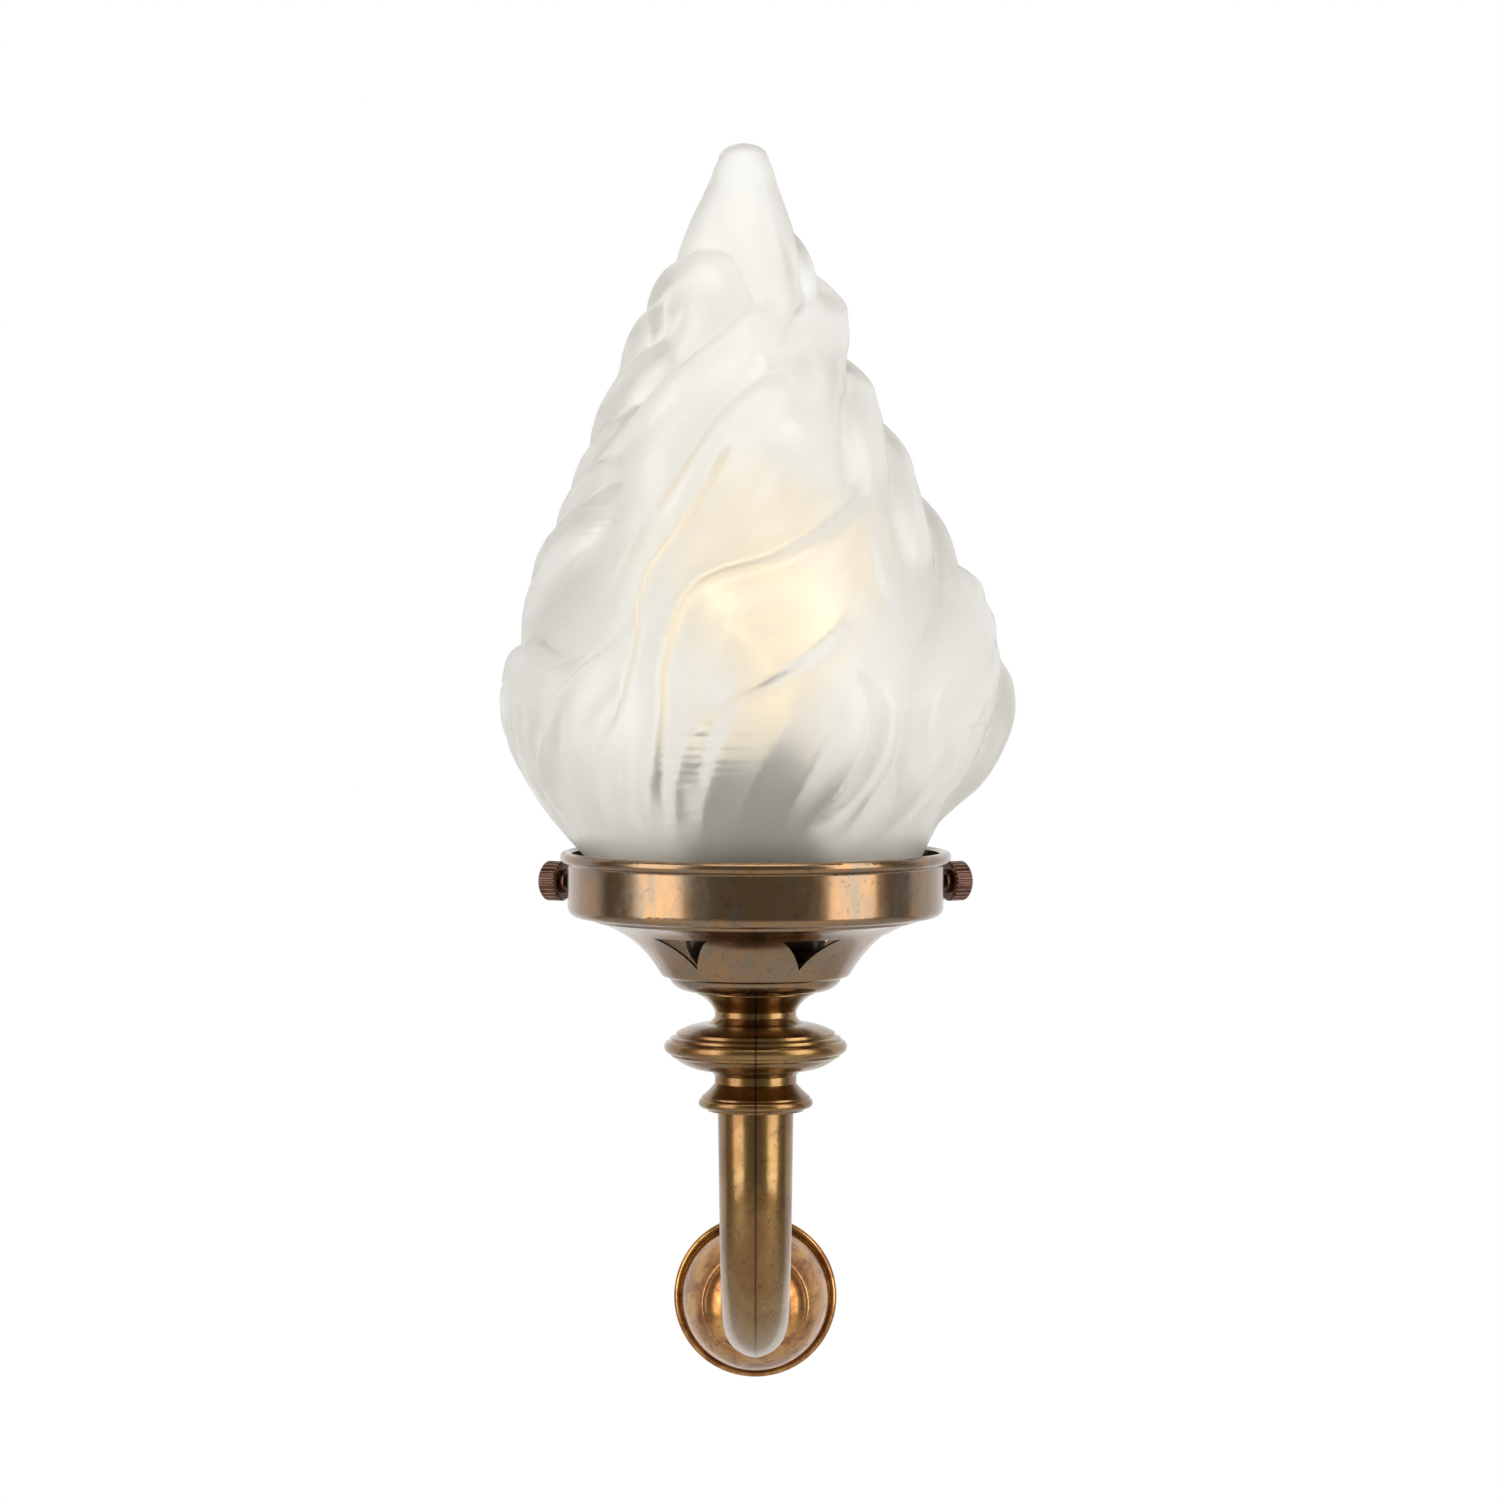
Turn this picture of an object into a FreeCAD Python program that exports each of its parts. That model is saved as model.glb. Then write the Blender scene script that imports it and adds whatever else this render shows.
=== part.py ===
"""Torch sconce: a cast brass arm on a small wall rose, a spun gallery and a moulded flame shade.

Frame: millimetres, +Z up. The origin is the centre of the wall face. The wall is the plane y = 0,
the lamp stands out from it towards -Y, and the tail of the arm runs along y at z = 0.
"""

import FreeCAD, Part
import math
import os

import Sketcher
from FreeCAD import Placement, Rotation, Vector

doc = FreeCAD.newDocument("torch_sconce")
sheet = doc.addObject("Spreadsheet::Sheet", "Sizes")

DRIVING_SIZES = {
    # wall fixing
    "plate_diameter": 41.0,
    "plate_thickness": 2.5,
    "plate_boss_diameter": 16.0,
    "plate_boss_height": 5.5,
    "fixing_pitch": 30.0,
    "fixing_hole": 4.5,
    "earth_screw_offset": 13.0,
    # threaded tube that carries the arm and the gallery
    "nipple_diameter": 10.0,
    "nipple_bore": 7.6,
    "nipple_grip": 13.0,
    "nut_height": 4.0,
    "nut_across_flats": 14.0,
    "washer_thickness": 0.8,
    # rose
    "rose_diameter": 49.0,
    "rose_body_diameter": 44.4,
    "rose_depth": 26.0,
    "rose_step_diameter": 31.3,
    "rose_step_depth": 21.5,
    "rose_sheet": 0.9,
    # cast arm
    "arm_reach": 110.0,
    "arm_rise": 101.3,
    "bend_radius": 52.0,
    "tube_width": 21.6,
    "tail_width": 18.0,
    "seam_rise": 0.9,
    "arm_bore": 13.0,
    "top_collar_diameter": 34.0,
    "top_collar_height": 5.8,
    "neck_diameter": 23.3,
    "upper_neck_height": 1.5,
    "knop_diameter": 52.2,
    "knop_height": 17.0,
    "lower_neck_height": 2.2,
    "lower_collar_diameter": 32.6,
    "lower_collar_height": 8.2,
    # gallery
    "gallery_sheet": 1.0,
    "gallery_base_diameter": 49.2,
    "gallery_base_height": 4.2,
    "bowl_foot_diameter": 54.0,
    "bowl_height": 17.0,
    "band_diameter": 107.0,
    "band_height": 17.2,
    "band_corner": 2.8,
    "ledge_width": 5.0,
    "bead_diameter": 3.6,
    "vent_count": 6,
    "vent_width": 18.5,
    "vent_height": 9.0,
    "vent_turn": 25.0,
    # thumb screws
    "screw_diameter": 4.0,
    "screw_turn": 120.0,
    "screw_head_diameter": 11.5,
    "screw_head_length": 6.0,
    "screw_head_offset": 10.2,
    "screw_grooves": 28,
    "screw_boss_diameter": 8.0,
    "screw_boss_length": 4.0,
    "screw_tip_clearance": 0.4,
    # glass
    "fitter_clearance": 2.1,
    "fitter_thickness": 4.2,
    "fitter_lip": 4.4,
    "glass_neck_height": 9.0,
    "glass_wall": 3.6,
    "flame_height": 205.5,
    "flame_diameter": 148.0,
    # lampholder
    "holder_diameter": 40.0,
    "holder_cap_height": 19.0,
    "holder_shell_height": 47.5,
    "holder_sheet": 1.0,
    "insert_height": 16.0,
    "screw_shell_diameter": 28.8,
    "screw_shell_sheet": 0.8,
    "terminal_offset": 9.5,
    # lamp
    "lamp_diameter": 60.0,
    "lamp_length": 105.0,
    "lamp_cap_diameter": 26.2,
    "lamp_cap_length": 27.0,
    "lamp_light_centre": 75.0,
    "lamp_glass_wall": 0.8,
    # wiring
    "wire_diameter": 2.2,
    "wire_spread": 1.45,
    # gaps
    "seat_gap": 0.05,
}

for row_number, (alias, number) in enumerate(DRIVING_SIZES.items(), start=1):
    sheet.set(f"A{row_number}", alias)
    sheet.set(f"B{row_number}", str(number))
    sheet.setAlias(f"B{row_number}", alias)
doc.recompute()


class Size:
    """A length that knows both its value and the sheet expression behind it."""

    def __init__(self, text, value):
        self.text = text
        self.value = float(value)

    def joined(self, sign, other, value):
        other_text = other.text if isinstance(other, Size) else repr(other)
        return Size(f"({self.text} {sign} {other_text})", value)

    def __add__(self, other):
        return self.joined("+", other, self.value + number_of(other))

    def __sub__(self, other):
        return self.joined("-", other, self.value - number_of(other))

    def __mul__(self, other):
        return self.joined("*", other, self.value * number_of(other))

    def __truediv__(self, other):
        return self.joined("/", other, self.value / number_of(other))

    def __neg__(self):
        return Size(f"(0 - {self.text})", -self.value)


def number_of(length):
    return length.value if isinstance(length, Size) else float(length)


def as_size(length):
    return length if isinstance(length, Size) else Size(repr(float(length)), length)


def size(alias):
    return Size(f"Sizes.{alias}", getattr(sheet, alias))


# Heights above the tail of the arm, bottom to top of the upright column.
reach = size("arm_reach")
seat = size("arm_rise")
top_neck = seat - size("top_collar_height")
knop_top = top_neck - size("upper_neck_height")
knop_foot = knop_top - size("knop_height")
low_neck = knop_foot - size("lower_neck_height")
column_foot = low_neck - size("lower_collar_height")
gallery_base_top = seat + size("gallery_base_height")
ledge = gallery_base_top + size("bowl_height")
lip = ledge + size("band_height")
shade_foot = ledge + size("gallery_sheet")
fitter_top = shade_foot + size("fitter_thickness")
screw_height = fitter_top + size("screw_diameter") / 2 + 0.7
flame_foot = fitter_top + size("glass_neck_height")
holder_seat = seat + size("gallery_sheet") + size("washer_thickness")
cap_top = holder_seat + size("holder_cap_height")
holder_top = cap_top + size("holder_shell_height")
insert_foot = cap_top + 5.0
insert_top = insert_foot + size("insert_height")
lamp_foot = insert_top + 1.4
lamp_top = lamp_foot + size("lamp_length")
bulb_centre = lamp_foot + size("lamp_light_centre")

# The glass is as wide as the gallery's band lets it be.
fitter_radius = size("band_diameter") / 2 - size("gallery_sheet") - size("fitter_clearance")
glass_neck_radius = fitter_radius - size("fitter_lip")

pieces = []


def keep(thing):
    """Count a finished piece among those that are written."""
    pieces.append(thing)
    return thing


def on_column(thing, turn=0.0):
    """Stand a piece on the axis of the upright column, at the arm's reach."""
    thing.Placement = Placement(Vector(0, -reach.value, 0), Rotation(Vector(0, 0, 1), turn))
    thing.setExpression("Placement.Base.y", (-reach).text)
    return keep(thing)


def on_wall(thing):
    """Lay a piece against the wall: its own Z points out of the wall, its own Y up."""
    thing.Placement = Placement(Vector(0, 0, 0), Rotation(Vector(1, 0, 0), 90))
    return keep(thing)


def across_column(thing, turn):
    """Point a piece's own Z outwards from the column at the thumb screws' height."""
    angle = math.radians(turn)
    outwards = Vector(math.sin(angle), -math.cos(angle), 0)
    thing.Placement = Placement(Vector(0, 0, 0), Rotation(Vector(0, 0, 1), outwards))
    thing.setExpression("Placement.Base.y", (-reach).text)
    thing.setExpression("Placement.Base.z", screw_height.text)
    return keep(thing)


def origin_plane(body, role):
    return [plane for plane in body.Origin.OriginFeatures if plane.Role == role][0]


def sketch_on(body, role, name):
    sketch = body.newObject("Sketcher::SketchObject", name)
    sketch.AttachmentSupport = (origin_plane(body, role), [""])
    sketch.MapMode = "FlatFace"
    return sketch


def arc_between(start, end, radius):
    """Arc from start to end; a positive radius bulges to the right of the way travelled."""
    chord = end - start
    half = chord.Length / 2
    rise = abs(radius) - math.sqrt(max(radius * radius - half * half, 0.0))
    side = Vector(chord.y, -chord.x, 0).normalize() * (rise if radius > 0 else -rise)
    return Part.Arc(start, start + chord / 2 + side, end)


def bind_point(sketch, geometry, point, across, up):
    """Hold one end of a line or arc at sheet distances from the origin."""
    for kind, length in (("DistanceX", across), ("DistanceY", up)):
        number = sketch.addConstraint(
            Sketcher.Constraint(kind, -1, 1, geometry, point, length.value)
        )
        sketch.setExpression(f"Constraints[{number}]", length.text)


def arc_ends(point):
    """End numbers of an outline's edge in the way travelled; a sketch arc runs anticlockwise."""
    if len(point) == 3 and number_of(point[2]) < 0:
        return 2, 1
    return 1, 2


def closed_sketch(body, role, name, outline):
    """Sketch a closed outline of (across, up[, arc radius to the next point]) sizes."""
    sketch = sketch_on(body, role, name)
    points = [Vector(number_of(p[0]), number_of(p[1]), 0) for p in outline]
    count = len(outline)
    for index, point in enumerate(outline):
        start, end = points[index], points[(index + 1) % count]
        if len(point) == 3:
            sketch.addGeometry(arc_between(start, end, number_of(point[2])))
        else:
            sketch.addGeometry(Part.LineSegment(start, end))
    for index, point in enumerate(outline):
        ends = arc_ends(outline[index])
        before = arc_ends(outline[index - 1])
        sketch.addConstraint(
            Sketcher.Constraint("Coincident", (index - 1) % count, before[1], index, ends[0])
        )
        bind_point(sketch, index, ends[0], as_size(point[0]), as_size(point[1]))
        if len(point) == 3:
            radius = as_size(point[2])
            radius = radius if radius.value > 0 else -radius
            number = sketch.addConstraint(Sketcher.Constraint("Radius", index, radius.value))
            sketch.setExpression(f"Constraints[{number}]", radius.text)
    return sketch


def turned(name, outline):
    """A body of revolution about its own Z from an outline of (radius, height) sizes."""
    body = doc.addObject("PartDesign::Body", name)
    sketch = closed_sketch(body, "XZ_Plane", f"{name}_profile", outline)
    revolution = body.newObject("PartDesign::Revolution", f"{name}_turning")
    revolution.Profile = sketch
    revolution.ReferenceAxis = (sketch, ["V_Axis"])
    revolution.Angle = 360
    body.Tip = revolution
    return body


def ring(name, inner_radius, outer_radius, foot, top):
    """A plain ring or tube."""
    return turned(
        name,
        [(inner_radius, foot), (outer_radius, foot), (outer_radius, top), (inner_radius, top)],
    )


def drill(body, name, holes):
    """Round holes through a body along its own Z, each given as (x, y, radius) sizes."""
    sketch = sketch_on(body, "XY_Plane", f"{name}_sketch")
    for across, up, radius in holes:
        centre = Vector(number_of(across), number_of(up), 0)
        index = sketch.addGeometry(Part.Circle(centre, Vector(0, 0, 1), number_of(radius)))
        bind_point(sketch, index, 3, as_size(across), as_size(up))
        number = sketch.addConstraint(Sketcher.Constraint("Radius", index, number_of(radius)))
        sketch.setExpression(f"Constraints[{number}]", as_size(radius).text)
    pocket = body.newObject("PartDesign::Pocket", name)
    pocket.Profile = sketch
    pocket.Type = "ThroughAll"
    pocket.SideType = "Symmetric"
    body.Tip = pocket
    return pocket


def hexagon_nut(name, foot):
    """A lock nut on the threaded tube, with its own Z along the tube."""
    prism = doc.addObject("Part::Prism", f"{name}_blank")
    prism.Polygon = 6
    prism.setExpression("Circumradius", (size("nut_across_flats") / math.sqrt(3)).text)
    prism.setExpression("Height", "Sizes.nut_height")
    prism.setExpression("Placement.Base.z", foot.text)
    hole = doc.addObject("Part::Cylinder", f"{name}_hole")
    hole.setExpression("Radius", (size("nipple_diameter") / 2 + size("seat_gap")).text)
    hole.setExpression("Height", "Sizes.nut_height")
    hole.setExpression("Placement.Base.z", foot.text)
    nut = doc.addObject("Part::Cut", name)
    nut.Base = prism
    nut.Tool = hole
    return nut


# Wall side --------------------------------------------------------------------------------------

nipple_radius = size("nipple_diameter") / 2
nipple_hole = nipple_radius + size("seat_gap")
rose_front = size("rose_depth")
tail_nipple_end = rose_front + size("nipple_grip")


def wall_plate():
    """Round fixing plate with a tapped boss, two screw holes and an earth screw hole."""
    thick = size("plate_thickness")
    boss = size("plate_boss_diameter") / 2
    boss_top = thick + size("plate_boss_height")
    rim = size("plate_diameter") / 2
    body = turned(
        "wall_plate",
        [
            (nipple_hole, 0.0),
            (rim, 0.0),
            (rim, thick),
            (boss, thick),
            (boss, boss_top),
            (nipple_hole, boss_top),
        ],
    )
    half_pitch = size("fixing_pitch") / 2
    fixing = size("fixing_hole") / 2
    earth_hole = (0.0, -size("earth_screw_offset"), 1.55)
    drill(body, "plate_holes", [(half_pitch, 0.0, fixing), (-half_pitch, 0.0, fixing), earth_hole])
    return on_wall(body)


def earth_fixing():
    """Earth screw in the plate, with its washer."""
    thick = size("plate_thickness")
    screw = turned(
        "earth_screw",
        [(0.0, 0.6), (1.5, 0.6), (1.5, thick + 0.6), (3.0, thick + 0.6), (3.0, thick + 2.1),
         (2.4, thick + 2.7), (0.0, thick + 2.7)],
    )
    washer = ring("earth_washer", 1.6, 3.6, thick, thick + 0.6)
    for thing in (screw, washer):
        on_wall(thing)
        thing.setExpression("Placement.Base.z", (-size("earth_screw_offset")).text)


def wall_rose():
    """Pressed cup with a rolled rim, a stepped face and a hole for the threaded tube."""
    sheet_gauge = size("rose_sheet")
    rim = size("rose_diameter") / 2
    body_radius = size("rose_body_diameter") / 2
    step = size("rose_step_diameter") / 2
    step_depth = size("rose_step_depth")
    front = rose_front
    face = size("tail_width") / 2 + 0.6
    hole = nipple_radius + 0.2
    outline = [
        (rim - 1.8, 0.0),
        (rim - 0.5, 0.0, 1.35),
        (rim - 1.9, 2.3, -1.6),
        (body_radius, 3.0, 30.0),
        (step + 0.7, step_depth - 1.1, 0.9),
        (step, step_depth - 0.3),
        (step - 0.5, step_depth + 0.2, 9.5),
        (face, front),
        (hole, front),
        (hole, front - sheet_gauge),
        (face - 0.2, front - sheet_gauge, -9.0),
        (step - 1.3, step_depth - 0.7),
        (step - 0.4, step_depth - 1.9, -29.0),
        (body_radius - sheet_gauge, 2.6),
    ]
    return on_wall(turned("wall_rose", outline))


def tail_fixing():
    """Threaded tube from the plate into the arm, and the nut and washer that grip the rose."""
    bore = size("nipple_bore") / 2
    on_wall(ring("tail_nipple", bore, nipple_radius, size("seat_gap") + 0.5, tail_nipple_end))
    washer_top = rose_front - size("rose_sheet")
    washer_foot = washer_top - size("washer_thickness")
    on_wall(ring("rose_washer", nipple_hole + 0.2, nipple_radius + 4.0, washer_foot, washer_top))
    on_wall(hexagon_nut("rose_lock_nut", washer_foot - size("nut_height")))


# Cast arm ---------------------------------------------------------------------------------------

def column_outline():
    """Outer edge of the turned column, from its top face down to the tube, as value pairs."""
    neck = number_of(size("neck_diameter")) / 2
    collar = number_of(size("top_collar_diameter")) / 2
    knop = number_of(size("knop_diameter")) / 2
    low_collar = number_of(size("lower_collar_diameter")) / 2
    tube = number_of(size("tube_width")) / 2
    knop_high = number_of(size("knop_height"))
    low_high = number_of(size("lower_collar_height"))

    def on_knop(out, down):
        return neck + (knop - neck) * out, number_of(knop_top) - knop_high * down

    def on_low_collar(out, down):
        return neck + (low_collar - neck) * out, number_of(low_neck) - low_high * down

    top = number_of(seat)
    return [
        ("line", (collar - 0.4, top)),
        ("arc", (collar, top - 0.45), (collar - 0.5, top - 0.9)),
        ("arc", (neck + 1.5, number_of(top_neck) + 2.3), (neck, number_of(top_neck))),
        ("line", (neck, number_of(knop_top))),
        ("arc", on_knop(0.06, 0.07), on_knop(0.24, 0.12)),
        ("arc", on_knop(0.50, 0.17), on_knop(0.76, 0.27)),
        ("line", on_knop(0.76, 0.315)),
        ("line", on_knop(0.875, 0.355)),
        ("line", on_knop(0.875, 0.395)),
        ("arc", on_knop(1.0, 0.51), on_knop(0.875, 0.63)),
        ("line", on_knop(0.86, 0.67)),
        ("line", on_knop(0.79, 0.70)),
        ("arc", on_knop(0.62, 0.80), on_knop(0.25, 0.90)),
        ("arc", on_knop(0.06, 0.94), (neck, number_of(knop_foot))),
        ("line", (neck, number_of(low_neck))),
        ("arc", on_low_collar(0.36, 0.23), on_low_collar(0.82, 0.46)),
        ("line", on_low_collar(0.82, 0.52)),
        ("arc", on_low_collar(1.0, 0.66), on_low_collar(0.80, 0.84)),
        ("arc", on_low_collar(0.50, 0.89), on_low_collar(0.42, 0.96)),
        ("line", (tube - 0.3, number_of(column_foot))),
    ]


def column_half(side):
    """Half of the turned column on one side of the seam plane."""
    axis_point = Vector(0, -number_of(reach), 0)
    edges = []
    here = axis_point + Vector(0, 0, number_of(seat))

    def spot(pair):
        return axis_point + Vector(0, pair[0], pair[1])

    for step in column_outline():
        there = spot(step[-1])
        if step[0] == "arc":
            edges.append(Part.Arc(here, spot(step[1]), there).toShape())
        else:
            edges.append(Part.LineSegment(here, there).toShape())
        here = there
    foot = axis_point + Vector(0, 0, number_of(column_foot))
    edges.append(Part.LineSegment(here, foot).toShape())
    edges.append(Part.LineSegment(foot, axis_point + Vector(0, 0, number_of(seat))).toShape())
    face = Part.Face(Part.Wire(edges))
    return face.revolve(axis_point, Vector(0, 0, 1), -180 * side)


def arm_spine(top, wall_end):
    """Centre line of the arm: down the column, round the bend and back to the wall."""
    bend = number_of(size("bend_radius"))
    out = -number_of(reach)
    corner = math.sqrt(0.5) * bend
    middle = Vector(0, out + bend - corner, bend - corner)
    down = Part.LineSegment(Vector(0, out, top), Vector(0, out, bend))
    turn = Part.Arc(Vector(0, out, bend), middle, Vector(0, out + bend, 0))
    back = Part.LineSegment(Vector(0, out + bend, 0), Vector(0, -wall_end, 0))
    return Part.Wire([down.toShape(), turn.toShape(), back.toShape()])


def seam_section(width, centre, fore, side):
    """Half of the tube's pointed section: an arc from ridge to ridge, closed on the seam plane."""
    half = width / 2
    ridge = half + number_of(size("seam_rise"))
    across = Vector(side, 0, 0)
    start, end = centre + fore * ridge, centre - fore * ridge
    arc = Part.Arc(start, centre + across * half, end)
    return Part.Wire([arc.toShape(), Part.LineSegment(end, start).toShape()])


def arm_half(name, side):
    """One of the two castings that are brazed along the seam plane x = 0."""
    out = -number_of(reach)
    wall_end = number_of(rose_front)
    tube_top = number_of(column_foot) + 2.0
    spine = arm_spine(tube_top, wall_end)
    first = seam_section(number_of(size("tube_width")), Vector(0, out, tube_top), Vector(0, 1, 0), side)
    last = seam_section(number_of(size("tail_width")), Vector(0, -wall_end, 0), Vector(0, 0, 1), side)
    tube = spine.makePipeShell([first, last], True, False)
    body = tube.fuse(column_half(side))

    grip = number_of(size("nipple_grip")) + 1.0
    thread = number_of(nipple_hole)
    bore_top = number_of(seat) - grip
    bore = number_of(size("arm_bore")) / 2
    hollow_spine = arm_spine(bore_top, wall_end + grip)
    mouth = Part.Wire([Part.Circle(Vector(0, out, bore_top), Vector(0, 0, 1), bore).toShape()])
    hollow = hollow_spine.makePipeShell([mouth], True, False)
    upper = Part.makeCylinder(thread, grip + 1, Vector(0, out, bore_top), Vector(0, 0, 1))
    lower = Part.makeCylinder(thread, grip + 1, Vector(0, -wall_end - grip, 0), Vector(0, 1, 0))
    body = body.cut([hollow, upper, lower]).removeSplitter()
    half = doc.addObject("Part::Feature", name)
    half.Shape = body
    return keep(half)


def top_nipple():
    """Threaded tube from the arm into the lampholder."""
    bore = size("nipple_bore") / 2
    return on_column(ring("top_nipple", bore, nipple_radius, seat - size("nipple_grip"), holder_seat + 7.0))


# Gallery ----------------------------------------------------------------------------------------

def gallery():
    """Spun brass gallery: rolled lip, band, ledge for the glass and a pierced bowl."""
    gauge = size("gallery_sheet")
    base = size("gallery_base_diameter") / 2
    foot = size("bowl_foot_diameter") / 2
    band = size("band_diameter") / 2
    corner = size("band_corner")
    bead = size("bead_diameter") / 2
    ledge_in = band - corner - size("ledge_width") + 2.2
    hole = nipple_radius + 0.2
    inner_corner = corner - gauge
    bowl_arc = 30.0
    outline = [
        (hole, seat),
        (base - 6.6, seat, 6.6),
        (base - 0.6, seat + 2.6),
        (base, gallery_base_top - 0.6),
        (foot - 0.5, gallery_base_top + 0.1),
        (foot, gallery_base_top + 0.7),
        (foot + 0.4, gallery_base_top + 1.3, -bowl_arc),
        (ledge_in - 1.6, ledge - 1.2, -2.6),
        (ledge_in, ledge),
        (band - corner, ledge, corner),
        (band, ledge + corner),
        (band, lip - bead * 1.5, -0.6),
        (band + 0.45, lip - bead * 1.15, bead),
        (band + bead, lip + bead * 0.45, bead),
        (band + 0.1, lip + bead * 0.75),
        (band - gauge, lip + bead * 0.35),
        (band - gauge, ledge + corner, -inner_corner),
        (band - corner, ledge + gauge),
        (ledge_in + 0.1, ledge + gauge, 2.6),
        (ledge_in - 2.0, ledge - 0.2, bowl_arc + 1.0),
        (foot - 0.3, gallery_base_top + 2.0),
        (foot - 1.2, gallery_base_top + 1.0),
        (base - gauge, gallery_base_top + 0.2),
        (base - gauge - 0.6, seat + 3.1, -5.6),
        (base - 6.6, seat + gauge),
        (hole, seat + gauge),
    ]
    body = turned("gallery", outline)
    vent_top = ledge - 4.6
    half_vent = size("vent_width") / 2
    vent = closed_sketch(
        body,
        "XZ_Plane",
        "vent_outline",
        [
            (-half_vent, vent_top, -20.0),
            (0.0, vent_top - size("vent_height"), -20.0),
            (half_vent, vent_top),
        ],
    )
    pocket = body.newObject("PartDesign::Pocket", "vent")
    pocket.Profile = vent
    pocket.Type = "ThroughAll"
    pattern = body.newObject("PartDesign::PolarPattern", "vents")
    pattern.Originals = [pocket]
    pattern.Axis = (body.getObject("gallery_profile"), ["V_Axis"])
    pattern.Angle = 360
    pattern.setExpression("Occurrences", "Sizes.vent_count")
    body.Tip = pattern
    for word, way in (("left", -1), ("right", 1)):
        hole_cut = body.newObject("PartDesign::SubtractiveCylinder", f"screw_hole_{word}")
        hole_cut.setExpression("Radius", (size("screw_diameter") / 2 + 1.05).text)
        hole_cut.setExpression("Height", (band + 5.0).text)
        angle = math.radians(way * size("screw_turn").value - size("vent_turn").value)
        outwards = Vector(math.sin(angle), -math.cos(angle), 0)
        hole_cut.Placement = Placement(Vector(0, 0, 0), Rotation(Vector(0, 0, 1), outwards))
        hole_cut.setExpression("Placement.Base.z", screw_height.text)
        body.Tip = hole_cut
    return on_column(body, size("vent_turn").value)


def gallery_screws():
    """Two thumb screws with knurled heads, in riveted bosses, that hold the glass by its rim."""
    band = size("band_diameter") / 2
    shank = size("screw_diameter") / 2
    boss = size("screw_boss_diameter") / 2
    boss_end = band + size("screw_boss_length")
    tip = fitter_radius + size("screw_tip_clearance")
    head_foot = band + size("screw_head_offset")
    head_top = head_foot + size("screw_head_length")
    head = size("screw_head_diameter") / 2
    for word, way in (("left", -1), ("right", 1)):
        turn = way * size("screw_turn").value
        collar = turned(
            f"screw_boss_{word}",
            [
                (shank + 0.05, band - size("gallery_sheet")),
                (shank + 1.0, band - size("gallery_sheet")),
                (shank + 1.0, band),
                (boss, band),
                (boss, boss_end - 0.6),
                (boss - 0.6, boss_end),
                (shank + 0.05, boss_end),
            ],
        )
        across_column(collar, turn)
        screw = turned(
            f"thumb_screw_{word}",
            [
                (0.0, tip),
                (shank - 0.6, tip),
                (shank - 0.05, tip + 0.6),
                (shank - 0.05, head_foot - 1.4),
                (shank + 1.4, head_foot - 1.4),
                (shank + 1.4, head_foot),
                (head - 0.7, head_foot),
                (head, head_foot + 0.7),
                (head, head_top - 0.7),
                (head - 0.7, head_top),
                (0.0, head_top),
            ],
        )
        cutter = sketch_on(screw, "XY_Plane", f"groove_round_{word}")
        groove_centre = head + 0.2
        cutter.addGeometry(Part.Circle(Vector(groove_centre.value, 0, 0), Vector(0, 0, 1), 0.45))
        bind_point(cutter, 0, 3, groove_centre, as_size(0.0))
        cutter.addConstraint(Sketcher.Constraint("Radius", 0, 0.45))
        groove = screw.newObject("PartDesign::Pocket", f"groove_{word}")
        groove.Profile = cutter
        groove.Type = "ThroughAll"
        groove.SideType = "Symmetric"
        knurl = screw.newObject("PartDesign::PolarPattern", f"knurl_{word}")
        knurl.Originals = [groove]
        knurl.Axis = (screw.getObject(f"thumb_screw_{word}_profile"), ["V_Axis"])
        knurl.Angle = 360
        knurl.setExpression("Occurrences", "Sizes.screw_grooves")
        screw.Tip = knurl
        across_column(screw, turn)


# Glass ------------------------------------------------------------------------------------------

# Rings of the plain flame under its tongues, as shares of the flame's height and of its radius:
# (height, radius, lean of the centre towards +X).
FLAME_RINGS = [
    (0.000, glass_neck_radius.value * 2 / size("flame_diameter").value, 0.000),
    (0.065, 0.700, -0.015),
    (0.152, 0.880, -0.010),
    (0.240, 0.926, 0.000),
    (0.332, 0.845, 0.000),
    (0.454, 0.703, -0.020),
    (0.576, 0.554, -0.040),
    (0.697, 0.399, -0.061),
    (0.809, 0.262, -0.061),
    (0.902, 0.165, -0.057),
    (0.975, 0.085, -0.046),
]
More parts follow.
